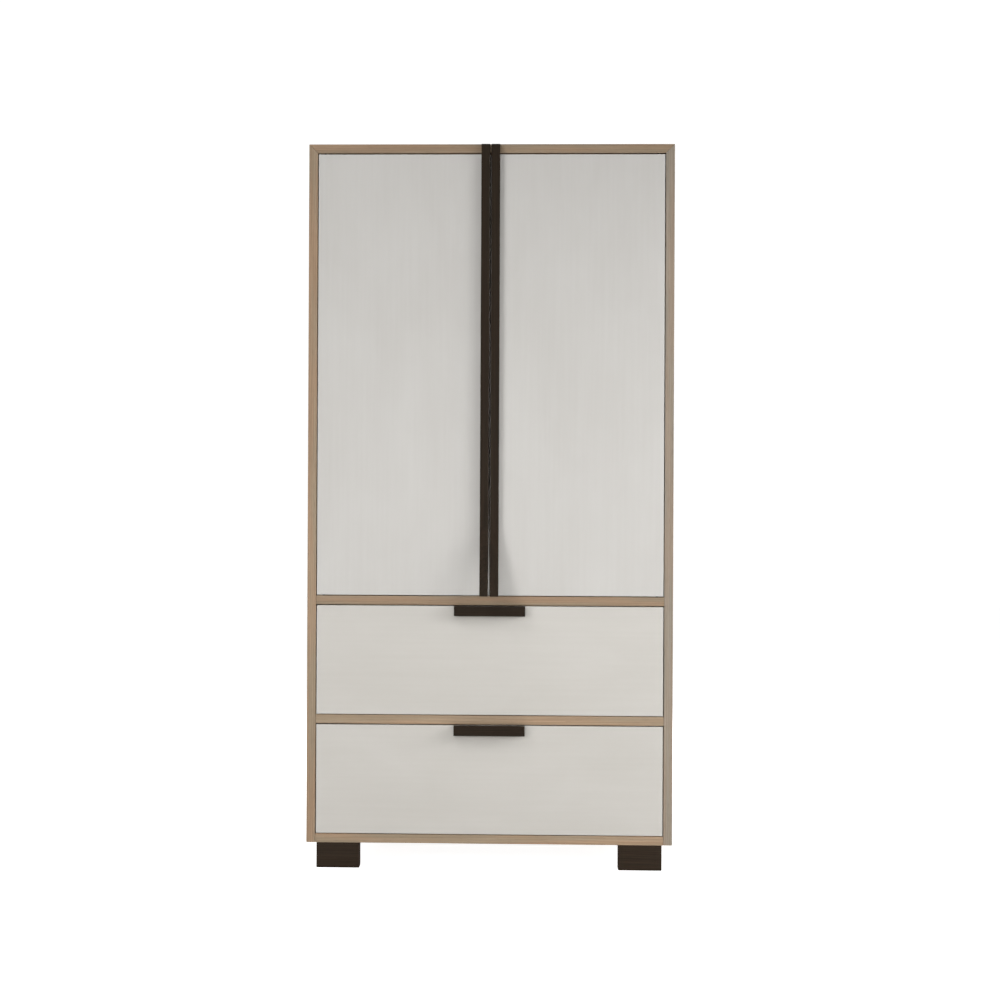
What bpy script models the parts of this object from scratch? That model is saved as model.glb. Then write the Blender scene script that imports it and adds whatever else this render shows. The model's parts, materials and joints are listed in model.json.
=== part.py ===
"""Armoire with two inset doors over two inset drawers.

Frame: metres, +Z up. The front faces -Y and +X is to the viewer's right. The origin is the centre
of the whole object's footprint, on the floor, with the projecting door pulls counted in its depth.
"""
from math import acos, atan2, cos, hypot, radians, sin, tan

import bmesh
import bpy
from mathutils import Matrix, Vector

# ---- Driving dimensions, in metres -----------------------------------------------------------

GAP = 0.0003                      # clearance between pieces that touch
EDGE = 0.0008                     # eased edge on joinery

CARCASS_WIDTH = 1.016
CARCASS_DEPTH = 0.559
BOARD = 0.0245                    # thickness of every carcass board
FOOT_HEIGHT = 0.070
DRAWER_OPENING = 0.307            # clear height of each drawer opening
DOOR_OPENING = 1.2315             # clear height of the door opening

FOOT_WIDTH = 0.120
FOOT_DEPTH = 0.038                # the thickness of the stock that the feet are cut from
FOOT_INSET = 0.0285               # from the carcass side to the foot's outer face
REAR_FOOT_INSET = 0.020           # from the carcass back to the rear feet

FRONT_THICKNESS = 0.020           # doors and drawer fronts
SIDE_REVEAL = 0.0024
DOOR_TOP_REVEAL = 0.0036
DOOR_BOTTOM_REVEAL = 0.0022
DRAWER_TOP_REVEAL = 0.0028
DRAWER_BOTTOM_REVEAL = 0.0020
MEETING_LINE_X = -0.0020          # the doors meet a little left of the centre line
MEETING_GAP = 0.0020

DOOR_PULL_WIDTH = 0.0238
DOOR_PULL_SIDE_SETBACK = 0.0012   # from the door's meeting edge to the pull
DOOR_PULL_THICKNESS = 0.0140
DOOR_PULL_TOP_SETBACK = 0.0015    # below the cabinet's top
DOOR_PULL_KICK_HEIGHT = 0.185     # height of the stretch that bends away from the door
DOOR_PULL_PROJECTION = 0.060      # from the door's face to the tip's front
DOOR_PULL_BEND_RADIUS = 0.060
DOOR_PULL_BEND_STEPS = 4

DRAWER_PULL_WIDTH = 0.197
DRAWER_PULL_HEIGHT = 0.0270
DRAWER_PULL_PROJECTION = 0.0220

PIVOT_INSET = 0.018               # from the door's outer edge to the pivot line
PIVOT_SETBACK = 0.0065            # from the door's face to the pivot line
PIN_RADIUS = 0.0030
PIN_REACH = 0.015                 # length of pin inside the door
PIN_ANCHOR = 0.012                # length of pin inside the carcass board
BUSH_RADIUS = 0.0045
PIN_SIDES = 24

BACK_THICKNESS = 0.008
BACK_INSET = 0.006                # from the carcass back to the back panel

SHELF_THICKNESS = 0.018
SHELF_TOP_Z = 1.715
SHELF_SETBACK = 0.050             # from the carcass front to the shelf's front edge
CLEAT_HEIGHT = 0.030
CLEAT_THICKNESS = 0.018

RAIL_RADIUS = 0.0140
RAIL_DROP = 0.065                 # from the shelf's underside to the rail's centre line
SOCKET_RADIUS = 0.0185
SOCKET_FLANGE_RADIUS = 0.0280
SOCKET_DEPTH = 0.016
SOCKET_BASE = 0.0035
RAIL_SIDES = 32

STOP_HEIGHT = 0.018
STOP_DEPTH = 0.014
STOP_LENGTH = 0.820
STOP_CLEARANCE = 0.0010           # between the stop strip and the closed doors
CATCH_SIZE = (0.046, 0.014, 0.012)
CATCH_OFFSET = 0.060              # from the meeting line to the catch's centre
STRIKE_SIZE = (0.036, 0.0012, 0.010)
STRIKE_CLEARANCE = 0.0006

DRAWER_SIDE_THICKNESS = 0.012
DRAWER_BOX_HEIGHT = 0.235
DRAWER_BOX_LENGTH = 0.480
DRAWER_BOX_RISE = 0.022           # from the opening's floor to the drawer box
DRAWER_BOTTOM_THICKNESS = 0.006
DRAWER_BOTTOM_RISE = 0.010        # from the drawer side's lower edge to the drawer bottom

RUNNER_SPACE = 0.0127             # between the drawer box and the carcass side
RUNNER_HEIGHT = 0.045
RUNNER_LENGTH = 0.450
RUNNER_PLAY = 0.0007              # between two members that slide past each other
RUNNER_RISE = 0.060               # from the opening's floor to the runner's lower edge

# ---- Derived places --------------------------------------------------------------------------

HALF_WIDTH = CARCASS_WIDTH / 2
INNER_HALF = HALF_WIDTH - BOARD
FRONT_Y = (DOOR_PULL_PROJECTION - CARCASS_DEPTH) / 2
BACK_Y = FRONT_Y + CARCASS_DEPTH
BACK_PANEL_Y = BACK_Y - BACK_INSET - BACK_THICKNESS
FRONT_BACK_Y = FRONT_Y + FRONT_THICKNESS

BOTTOM_TOP_Z = FOOT_HEIGHT + BOARD
LOWER_DIVIDER_Z = BOTTOM_TOP_Z + DRAWER_OPENING
UPPER_DRAWER_Z = LOWER_DIVIDER_Z + BOARD
UPPER_DIVIDER_Z = UPPER_DRAWER_Z + DRAWER_OPENING
DOOR_OPENING_Z = UPPER_DIVIDER_Z + BOARD
TOP_PANEL_Z = DOOR_OPENING_Z + DOOR_OPENING
TOP_Z = TOP_PANEL_Z + BOARD

DOOR_BOTTOM_Z = DOOR_OPENING_Z + DOOR_BOTTOM_REVEAL
DOOR_TOP_Z = TOP_PANEL_Z - DOOR_TOP_REVEAL
DOOR_OUTER_X = INNER_HALF - SIDE_REVEAL
PIVOT_X = DOOR_OUTER_X - PIVOT_INSET
PIVOT_Y = FRONT_Y + PIVOT_SETBACK

SHELF_Z = SHELF_TOP_Z - SHELF_THICKNESS
RAIL_Z = SHELF_Z - RAIL_DROP
RAIL_Y = (FRONT_BACK_Y + BACK_PANEL_Y) / 2
STOP_Z = TOP_PANEL_Z - GAP - STOP_HEIGHT

DRAWER_HALF = INNER_HALF - RUNNER_SPACE
RUNNER_THICKNESS = (RUNNER_SPACE - 2 * GAP - 2 * RUNNER_PLAY) / 3
RUNNER_Y = FRONT_BACK_Y + 0.004

LEFT, RIGHT = -1, 1
SIDE_NAME = {LEFT: "left", RIGHT: "right"}


# ---- Scene and materials ---------------------------------------------------------------------

def clear_scene():
    for obj in list(bpy.data.objects):
        bpy.data.objects.remove(obj, do_unlink=True)


def principled(name, colour, roughness, metallic=0.0):
    material = bpy.data.materials.new(name)
    material.use_nodes = True
    material.diffuse_color = (*colour, 1.0)
    shader = material.node_tree.nodes["Principled BSDF"]
    shader.inputs["Base Color"].default_value = (*colour, 1.0)
    shader.inputs["Roughness"].default_value = roughness
    shader.inputs["Metallic"].default_value = metallic
    return material


def make_materials():
    return {
        "oak": principled("washed_oak", (0.33, 0.245, 0.175), 0.55),
        "pale": principled("pale_finish", (0.64, 0.61, 0.565), 0.50),
        "dark": principled("dark_wood", (0.030, 0.022, 0.017), 0.45),
        "box": principled("drawer_birch", (0.58, 0.45, 0.31), 0.50),
        "board": principled("back_board", (0.40, 0.31, 0.22), 0.60),
        "steel": principled("zinc_steel", (0.62, 0.62, 0.63), 0.35, 1.0),
        "brass": principled("brass", (0.62, 0.45, 0.20), 0.35, 1.0),
        "catch": principled("catch_plastic", (0.16, 0.13, 0.11), 0.50),
    }


# ---- Shape helpers ---------------------------------------------------------------------------

def add_object(name, bm, material, centre, parent=None):
    """Store a mesh built around its own origin as a named object at a world position."""
    mesh = bpy.data.meshes.new(name)
    bmesh.ops.recalc_face_normals(bm, faces=bm.faces)
    bm.to_mesh(mesh)
    bm.free()
    mesh.materials.append(material)
    obj = bpy.data.objects.new(name, mesh)
    bpy.context.scene.collection.objects.link(obj)
    obj.location = Vector(centre)
    if parent is not None:
        obj.parent = parent
        obj.location = Vector(centre) - parent.location
    return obj


def ease_edges(obj, width=EDGE):
    bevel = obj.modifiers.new("eased_edges", "BEVEL")
    bevel.width = width
    bevel.segments = 1
    bevel.limit_method = "ANGLE"
    bevel.angle_limit = radians(40)


def block(name, low, high, material, parent=None, edge=EDGE):
    """A rectangular piece between two world corners, with eased edges."""
    low, high = Vector(low), Vector(high)
    bm = bmesh.new()
    bmesh.ops.create_cube(bm, size=1.0, matrix=Matrix.Diagonal((*(high - low), 1.0)))
    obj = add_object(name, bm, material, (low + high) / 2, parent)
    if edge:
        ease_edges(obj, edge)
    return obj


def extrusion(name, outline, axis, low, high, material, parent=None):
    """A flat outline, drawn in the plane across an axis (0 is X, 1 is Y), extruded along it."""
    mid_a = sum(a for a, _ in outline) / len(outline)
    mid_b = sum(b for _, b in outline) / len(outline)
    half = (high - low) / 2

    def at(along, a, b):
        return (along, a, b) if axis == 0 else (a, along, b)

    bm = bmesh.new()
    face = bm.faces.new([bm.verts.new(at(-half, a - mid_a, b - mid_b)) for a, b in outline])
    swept = bmesh.ops.extrude_face_region(bm, geom=[face])
    moved = [item for item in swept["geom"] if isinstance(item, bmesh.types.BMVert)]
    bmesh.ops.translate(bm, verts=moved, vec=at(2 * half, 0.0, 0.0))
    obj = add_object(name, bm, material, at((low + high) / 2, mid_a, mid_b), parent)
    ease_edges(obj)
    return obj


def turned(name, profile, sides, axis, centre, material, parent=None):
    """A turned piece: a closed (along, radius) profile spun about an axis (0 is X, 2 is Z)."""
    bm = bmesh.new()
    turn = Matrix.Rotation(radians(90), 4, "Y") if axis == 0 else Matrix.Identity(4)
    verts = [bm.verts.new((radius, 0.0, along)) for along, radius in profile]
    edges = [bm.edges.new((a, b)) for a, b in zip(verts, verts[1:] + verts[:1])]
    bmesh.ops.spin(bm, geom=verts + edges, cent=(0, 0, 0), axis=(0, 0, 1),
                   angle=radians(360), steps=sides, use_merge=True)
    bmesh.ops.remove_doubles(bm, verts=bm.verts, dist=1e-6)
    bmesh.ops.transform(bm, matrix=turn, verts=bm.verts)
    obj = add_object(name, bm, material, centre, parent)
    obj.data.shade_smooth()
    obj.data.set_sharp_from_angle(angle=radians(35))
    return obj


def rod(name, radius, low, high, sides, axis, centre, material, parent=None):
    """A solid round bar from low to high along its axis, measured from its centre point."""
    bm = bmesh.new()
    turn = Matrix.Rotation(radians(90), 4, "Y") if axis == 0 else Matrix.Identity(4)
    bmesh.ops.create_cone(bm, cap_ends=True, segments=sides, radius1=radius, radius2=radius,
                          depth=high - low, matrix=turn)
    shift = Vector(((high + low) / 2, 0, 0)) if axis == 0 else Vector((0, 0, (high + low) / 2))
    bmesh.ops.translate(bm, verts=bm.verts, vec=shift)
    obj = add_object(name, bm, material, centre, parent)
    obj.data.shade_smooth()
    obj.data.set_sharp_from_angle(angle=radians(35))
    return obj


def drill(obj, name, radius, depth, mouth, direction):
    """Cut a round blind hole into a piece from a mouth point, straight up or down."""
    bm = bmesh.new()
    overshoot = 0.002
    bmesh.ops.create_cone(bm, cap_ends=True, segments=PIN_SIDES, radius1=radius, radius2=radius,
                          depth=depth + overshoot)
    middle = Vector(mouth) + Vector((0, 0, direction * (depth - overshoot) / 2))
    cutter = add_object(name, bm, obj.data.materials[0], middle)
    cutter.hide_render = True
    cutter.display_type = "WIRE"
    if obj.parent is not None:
        cutter.parent = obj.parent
        cutter.location = middle - obj.parent.location
    cut = obj.modifiers.new(name, "BOOLEAN")
    cut.operation = "DIFFERENCE"
    cut.solver = "EXACT"
    cut.object = cutter


def axis_empty(name, location):
    empty = bpy.data.objects.new(name, None)
    empty.empty_display_size = 0.05
    empty.location = location
    bpy.context.scene.collection.objects.link(empty)
    return empty


# ---- Carcass ---------------------------------------------------------------------------------

def make_side_panel(side, materials):
    """A full-height side, mitred at the top where it meets the top panel."""
    mitre_gap = GAP * 1.4
    outer, inner = side * HALF_WIDTH, side * INNER_HALF
    outline = [(outer, FOOT_HEIGHT), (inner, FOOT_HEIGHT), (inner, TOP_PANEL_Z - mitre_gap),
               (outer, TOP_Z - mitre_gap)]
    name = SIDE_NAME[side] + "_side_panel"
    return extrusion(name, outline, 1, FRONT_Y, BACK_Y, materials["oak"])


def make_top_panel(materials):
    outline = [(-HALF_WIDTH, TOP_Z), (-INNER_HALF, TOP_PANEL_Z), (INNER_HALF, TOP_PANEL_Z),
               (HALF_WIDTH, TOP_Z)]
    return extrusion("top_panel", outline, 1, FRONT_Y, BACK_Y, materials["oak"])


def make_level_board(name, low_z, back_y, materials):
    """A level board between the two sides."""
    reach = INNER_HALF - GAP
    return block(name, (-reach, FRONT_Y, low_z), (reach, back_y, low_z + BOARD), materials["oak"])


def make_feet(materials):
    outer = HALF_WIDTH - FOOT_INSET
    rows = {"front": (FRONT_Y, FRONT_Y + FOOT_DEPTH),
            "rear": (BACK_Y - REAR_FOOT_INSET - FOOT_DEPTH, BACK_Y - REAR_FOOT_INSET)}
    for row, (low_y, high_y) in rows.items():
        for side in (LEFT, RIGHT):
            low_x, high_x = sorted((side * outer, side * (outer - FOOT_WIDTH)))
            block(f"{row}_{SIDE_NAME[side]}_foot", (low_x, low_y, 0.0),
                  (high_x, high_y, FOOT_HEIGHT - GAP), materials["dark"], edge=0.0015)


def make_back_panel(materials):
    reach = INNER_HALF - GAP
    block("back_panel", (-reach, BACK_PANEL_Y, BOTTOM_TOP_Z + GAP),
          (reach, BACK_PANEL_Y + BACK_THICKNESS, TOP_PANEL_Z - GAP), materials["board"])


def make_shelf(materials):
    """The hat shelf and the two cleats that it rests on."""
    reach = INNER_HALF - GAP
    block("hat_shelf", (-reach, FRONT_Y + SHELF_SETBACK, SHELF_Z),
          (reach, BACK_PANEL_Y - GAP, SHELF_TOP_Z), materials["oak"])
    for side in (LEFT, RIGHT):
        low_x, high_x = sorted((side * reach, side * (reach - CLEAT_THICKNESS)))
        block(SIDE_NAME[side] + "_shelf_cleat",
              (low_x, FRONT_Y + SHELF_SETBACK + 0.012, SHELF_Z - GAP - CLEAT_HEIGHT),
              (high_x, BACK_PANEL_Y - 0.012, SHELF_Z - GAP), materials["oak"])


def make_hanging_rail(materials):
    """A round rail whose ends sit in a flanged cup on each side panel."""
    reach = INNER_HALF - GAP
    rail_reach = reach - SOCKET_BASE - GAP
    rod("hanging_rail", RAIL_RADIUS, -rail_reach, rail_reach, RAIL_SIDES, 0,
        (0, RAIL_Y, RAIL_Z), materials["steel"])
    bore = RAIL_RADIUS + GAP
    for side in (LEFT, RIGHT):
        profile = [(0.0, 0.0), (0.0, SOCKET_FLANGE_RADIUS), (SOCKET_BASE, SOCKET_FLANGE_RADIUS),
                   (SOCKET_BASE, SOCKET_RADIUS), (SOCKET_DEPTH, SOCKET_RADIUS),
                   (SOCKET_DEPTH, bore), (SOCKET_BASE, bore), (SOCKET_BASE, 0.0)]
        inward = [(-side * along, radius) for along, radius in profile]
        turned(SIDE_NAME[side] + "_rail_socket", inward, RAIL_SIDES, 0,
               (side * reach, RAIL_Y, RAIL_Z), materials["steel"])


def make_door_stop(materials):
    """A strip under the top panel that the closed doors rest against, with a catch for each."""
    low_y = FRONT_BACK_Y + STOP_CLEARANCE
    block("door_stop_strip", (-STOP_LENGTH / 2, low_y, STOP_Z),
          (STOP_LENGTH / 2, low_y + STOP_DEPTH, STOP_Z + STOP_HEIGHT), materials["oak"])
    length, depth, height = CATCH_SIZE
    catch_y = FRONT_BACK_Y + GAP + STRIKE_SIZE[1] + STRIKE_CLEARANCE
    for side in (LEFT, RIGHT):
        middle = MEETING_LINE_X + side * CATCH_OFFSET
        block(SIDE_NAME[side] + "_door_catch",
              (middle - length / 2, catch_y, STOP_Z - GAP - height),
              (middle + length / 2, catch_y + depth, STOP_Z - GAP), materials["catch"],
              edge=0.0006)


def make_carcass(materials):
    for side in (LEFT, RIGHT):
        make_side_panel(side, materials)
    top = make_top_panel(materials)
    make_level_board("bottom_panel", FOOT_HEIGHT, BACK_Y, materials)
    make_level_board("lower_divider", LOWER_DIVIDER_Z, BACK_PANEL_Y - GAP, materials)
    divider = make_level_board("upper_divider", UPPER_DIVIDER_Z, BACK_PANEL_Y - GAP, materials)
    make_feet(materials)
    make_back_panel(materials)
    make_shelf(materials)
    make_hanging_rail(materials)
    make_door_stop(materials)
    return top, divider


# ---- Doors -----------------------------------------------------------------------------------

def door_pull_outline():
    """Side view (y, z) of a pull: straight against the door, then bent away over the last stretch."""
    bottom, top = DOOR_BOTTOM_Z, TOP_Z - DOOR_PULL_TOP_SETBACK
    bend_z = bottom + DOOR_PULL_KICK_HEIGHT
    back = FRONT_Y - GAP
    reach = DOOR_PULL_PROJECTION - GAP
    slant = hypot(reach, DOOR_PULL_KICK_HEIGHT)
    angle = acos(DOOR_PULL_THICKNESS / slant) - atan2(DOOR_PULL_KICK_HEIGHT, reach)
    outer = DOOR_PULL_BEND_RADIUS + DOOR_PULL_THICKNESS
    arc_top = bend_z + outer * tan(angle / 2)
    centre_y = back - outer

    def arc(radius):
        turns = [angle * step / DOOR_PULL_BEND_STEPS for step in range(DOOR_PULL_BEND_STEPS + 1)]
        return [(centre_y + radius * cos(turn), arc_top - radius * sin(turn)) for turn in turns]

    def foot(radius):
        y, z = arc(radius)[-1]
        return (y - (z - bottom) * tan(angle), bottom)

    back_line = [(back, top)] + arc(outer) + [foot(outer)]
    front_line = [(back - DOOR_PULL_THICKNESS, top)] + arc(DOOR_PULL_BEND_RADIUS)
    front_line.append(foot(DOOR_PULL_BEND_RADIUS))
    return back_line + front_line[::-1]


def make_pivot(side, end, door, board, pivot, materials):
    """A pin fixed in the carcass board and the bush in the door that turns on it."""
    name = f"{SIDE_NAME[side]}_door_{end}"
    up = 1 if end == "top" else -1
    board_z = TOP_PANEL_Z if end == "top" else DOOR_OPENING_Z
    door_z = DOOR_TOP_Z if end == "top" else DOOR_BOTTOM_Z
    place = (side * PIVOT_X, PIVOT_Y)

    ends = sorted((board_z + up * PIN_ANCHOR, door_z - up * PIN_REACH))
    rod(name + "_pin", PIN_RADIUS, ends[0], ends[1], PIN_SIDES, 2, (*place, 0.0),
        materials["steel"])
    drill(board, name + "_pin_hole", PIN_RADIUS + GAP, PIN_ANCHOR + GAP, (*place, board_z), up)

    bush_length = PIN_REACH + 0.001
    drill(door, name + "_bush_hole", BUSH_RADIUS + GAP, bush_length + GAP, (*place, door_z), -up)
    bore = PIN_RADIUS + GAP
    profile = [(0.0, bore), (0.0, BUSH_RADIUS), (-up * bush_length, BUSH_RADIUS),
               (-up * bush_length, bore)]
    turned(name + "_bush", profile, PIN_SIDES, 2, (*place, door_z), materials["brass"], pivot)


def make_door(side, top, divider, materials):
    name = SIDE_NAME[side]
    pivot = axis_empty(name + "_door_pivot", (side * PIVOT_X, PIVOT_Y, DOOR_BOTTOM_Z))
    meeting_x = MEETING_LINE_X + side * MEETING_GAP / 2
    low_x, high_x = sorted((meeting_x, side * DOOR_OUTER_X))
    door = block(name + "_door", (low_x, FRONT_Y, DOOR_BOTTOM_Z),
                 (high_x, FRONT_BACK_Y, DOOR_TOP_Z), materials["pale"], pivot)
    make_pivot(side, "top", door, top, pivot, materials)
    make_pivot(side, "bottom", door, divider, pivot, materials)

    pull_x = meeting_x + side * DOOR_PULL_SIDE_SETBACK
    low_x, high_x = sorted((pull_x, pull_x + side * DOOR_PULL_WIDTH))
    extrusion(name + "_door_pull", door_pull_outline(), 0, low_x, high_x, materials["dark"], pivot)

    length, thickness, height = STRIKE_SIZE
    middle_x = MEETING_LINE_X + side * CATCH_OFFSET
    middle_z = STOP_Z - GAP - CATCH_SIZE[2] / 2
    low_y = FRONT_BACK_Y + GAP
    block(name + "_strike_plate", (middle_x - length / 2, low_y, middle_z - height / 2),
          (middle_x + length / 2, low_y + thickness, middle_z + height / 2),
          materials["steel"], pivot, edge=0.0003)


# ---- Drawers ---------------------------------------------------------------------------------

def make_runner(level, side, floor_z, slide, middle, materials):
    """One telescopic runner: a cabinet member, a middle member and a drawer member."""
    name = f"{level}_{SIDE_NAME[side]}"
    low_z = floor_z + RUNNER_RISE
    face = INNER_HALF - GAP
    members = (("cabinet", None, 0.0), ("middle", middle, 0.003), ("drawer", slide, 0.006))
    for member, parent, narrowing in members:
        low_x, high_x = sorted((side * face, side * (face - RUNNER_THICKNESS)))
        block(f"{name}_{member}_runner", (low_x, RUNNER_Y, low_z + narrowing),
              (high_x, RUNNER_Y + RUNNER_LENGTH, low_z + RUNNER_HEIGHT - narrowing),
              materials["steel"], parent, edge=0.0004)
        face -= RUNNER_THICKNESS + RUNNER_PLAY


def make_drawer(level, floor_z, materials):
    slide = axis_empty(level + "_drawer_slide", (0, FRONT_Y, floor_z))
    middle = axis_empty(level + "_middle_runner_slide", (0, RUNNER_Y, floor_z))
    front_low = floor_z + DRAWER_BOTTOM_REVEAL
    front_high = floor_z + DRAWER_OPENING - DRAWER_TOP_REVEAL
    block(level + "_drawer_front", (-DOOR_OUTER_X, FRONT_Y, front_low),
          (DOOR_OUTER_X, FRONT_BACK_Y, front_high), materials["pale"], slide)

    half = DRAWER_PULL_WIDTH / 2
    block(level + "_drawer_pull",
          (-half, FRONT_Y - GAP - DRAWER_PULL_PROJECTION, front_high - DRAWER_PULL_HEIGHT),
          (half, FRONT_Y - GAP, front_high), materials["dark"], slide)

    box_low = floor_z + DRAWER_BOX_RISE
    box_high = box_low + DRAWER_BOX_HEIGHT
    low_y = FRONT_BACK_Y + GAP
    high_y = low_y + DRAWER_BOX_LENGTH
    inner = DRAWER_HALF - DRAWER_SIDE_THICKNESS - GAP
    for side in (LEFT, RIGHT):
        low_x, high_x = sorted((side * DRAWER_HALF, side * (DRAWER_HALF - DRAWER_SIDE_THICKNESS)))
        block(f"{level}_drawer_{SIDE_NAME[side]}_side", (low_x, low_y, box_low),
              (high_x, high_y, box_high), materials["box"], slide)
        make_runner(level, side, floor_z, slide, middle, materials)
    bottom_low = box_low + DRAWER_BOTTOM_RISE
    bottom_high = bottom_low + DRAWER_BOTTOM_THICKNESS
    block(level + "_drawer_bottom", (-inner, low_y, bottom_low), (inner, high_y, bottom_high),
          materials["box"], slide)
    block(level + "_drawer_back", (-inner, high_y - DRAWER_SIDE_THICKNESS, bottom_high + GAP),
          (inner, high_y, box_high), materials["box"], slide)


def main():
    clear_scene()
    materials = make_materials()
    top, divider = make_carcass(materials)
    for side in (LEFT, RIGHT):
        make_door(side, top, divider, materials)
    make_drawer("upper", UPPER_DRAWER_Z, materials)
    make_drawer("lower", BOTTOM_TOP_Z, materials)


main()
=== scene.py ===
"""Armoire add-on: dresses the armoire's fixed frame with finished joinery, hardware and materials.

Metres, +Z up; the cabinet's front faces -Y. Every place comes from the frame's own nodes.
"""
import json
from math import acos, atan2, cos, hypot, pi, radians, sin, tan

import bmesh
import bpy
from bpy.props import FloatProperty, FloatVectorProperty, IntProperty, PointerProperty
from mathutils import Matrix, Vector

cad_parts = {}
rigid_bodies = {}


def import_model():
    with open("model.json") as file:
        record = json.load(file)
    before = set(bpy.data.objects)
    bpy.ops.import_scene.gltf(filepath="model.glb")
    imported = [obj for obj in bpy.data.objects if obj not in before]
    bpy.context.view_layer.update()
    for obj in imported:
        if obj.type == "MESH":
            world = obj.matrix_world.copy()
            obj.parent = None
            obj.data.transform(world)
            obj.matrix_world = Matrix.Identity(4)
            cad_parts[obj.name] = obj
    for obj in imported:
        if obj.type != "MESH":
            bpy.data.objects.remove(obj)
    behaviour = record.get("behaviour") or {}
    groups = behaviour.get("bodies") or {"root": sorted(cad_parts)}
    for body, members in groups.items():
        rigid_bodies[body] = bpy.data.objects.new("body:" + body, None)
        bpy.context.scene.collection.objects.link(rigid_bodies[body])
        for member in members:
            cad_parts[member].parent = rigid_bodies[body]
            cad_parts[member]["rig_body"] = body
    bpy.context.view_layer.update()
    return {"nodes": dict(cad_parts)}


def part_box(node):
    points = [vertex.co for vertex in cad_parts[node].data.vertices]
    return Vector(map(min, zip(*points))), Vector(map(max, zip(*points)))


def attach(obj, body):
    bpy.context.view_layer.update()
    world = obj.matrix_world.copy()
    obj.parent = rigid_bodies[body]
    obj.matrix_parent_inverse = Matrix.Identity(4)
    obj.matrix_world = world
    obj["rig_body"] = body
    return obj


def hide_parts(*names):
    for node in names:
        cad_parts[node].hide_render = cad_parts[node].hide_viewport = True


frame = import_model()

bl_info = {
    "name": "Armoire",
    "version": (1, 0, 0),
    "blender": (4, 5, 0),
    "location": "3D View > Sidebar > Armoire",
    "description": "Builds the finished pieces of an armoire with two doors over two drawers",
    "category": "Add Mesh",
}

SIDES = {"left": -1, "right": 1}
LEVELS = ("upper", "lower")
GRAIN_AXIS = {"X": 0, "Y": 1, "Z": 2}
BLACK, WHITE = (0.0, 0.0, 0.0), (1.0, 1.0, 1.0)

SAME_SPOT = 1e-6          # corners nearer than this are one corner
SMOOTH_ANGLE = 35         # degrees; sharper arrises on turned and pressed pieces stay crisp
ROUND_SIDES = 64          # facets round the rail and its sockets
CLEAT_SCREWS = (0.04, 0.13)     # from each end of a row to its first screw, and between screws
STOP_SCREWS = (0.05, 0.24)
RUNNER_SCREWS = (0.05, 0.17)
PULL_SCREW_MARGIN = 0.10
SOCKET_CUP = 0.32         # cup's wall, as a share of the way from the bore to the flange's rim
SOCKET_SCREW = 0.36       # screw's radius, as a share of the flange outside the cup
CATCH_EDGE = 0.0012
POLE_PLACES = (0.30, 0.62)      # shares of a catch's height
STRIKE_EDGE = 0.0003
STRIKE_SCREW_HEIGHT = 0.0002    # low enough to clear the poles of the closed door's catch


# ---- Settings --------------------------------------------------------------------------------

def length(name, description, default):
    return FloatProperty(name=name, description=description, default=default, min=0.0,
                         precision=4, unit="LENGTH", subtype="DISTANCE")


def colour(name, description, default):
    return FloatVectorProperty(name=name, description=description, default=default, size=3,
                               min=0.0, max=1.0, subtype="COLOR")


def angle(name, description, degrees):
    return FloatProperty(name=name, description=description, default=radians(degrees),
                         subtype="ANGLE")


def number(name, description, default):
    return FloatProperty(name=name, description=description, default=default, min=0.0)


def count(name, description, default):
    return IntProperty(name=name, description=description, default=default, min=1)


class ArmoireSizes(bpy.types.PropertyGroup):
    """Sizes that the frame leaves open."""
    board_edge: length("Board edge", "Radius of the eased edges on boards", 0.0008)
    foot_edge: length("Foot edge", "Radius of the eased edges on the feet", 0.0016)
    pull_edge: length("Pull edge", "Radius of the eased edges on the pulls", 0.0011)
    drawer_top_edge: length("Drawer edge", "Radius along the tops of the drawer sides", 0.0040)
    edge_segments: count("Edge segments", "Facets round each eased edge", 3)
    pull_thickness: length("Pull thickness", "Thickness of a long door pull", 0.0140)
    pull_kick: length("Pull kick", "Height of the stretch that bends away from the door", 0.185)
    pull_bend_radius: length("Bend radius", "Inner radius of the bend in a door pull", 0.060)
    pull_bend_steps: count("Bend steps", "Facets round the bend in a door pull", 14)
    clearance: length("Clearance", "Gap between pieces that touch", 0.0003)
    mitre_gap: length("Mitre gap", "Height of the open joint at a mitre", 0.00008)
    socket_flange: length("Socket flange", "Thickness of the flange on a rail socket", 0.0035)
    socket_edge: length("Socket edge", "Rounding of the edges on a rail socket", 0.0008)
    screw_radius: length("Screw radius", "Radius of a screw head", 0.0038)
    screw_height: length("Screw height", "Height of a screw head", 0.0016)
    back_screw_pitch: length("Back screws", "Distance between the back panel's screws", 0.230)
    pull_screw_pitch: length("Pull screws", "Distance between a long pull's screws", 0.280)
    steel_gauge: length("Steel gauge", "Thickness of the steel in the drawer runners", 0.0011)
    ball_radius: length("Ball radius", "Radius of a ball in the drawer runners", 0.0017)
    ball_pitch: length("Ball pitch", "Distance between the balls in a drawer runner", 0.012)


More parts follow.
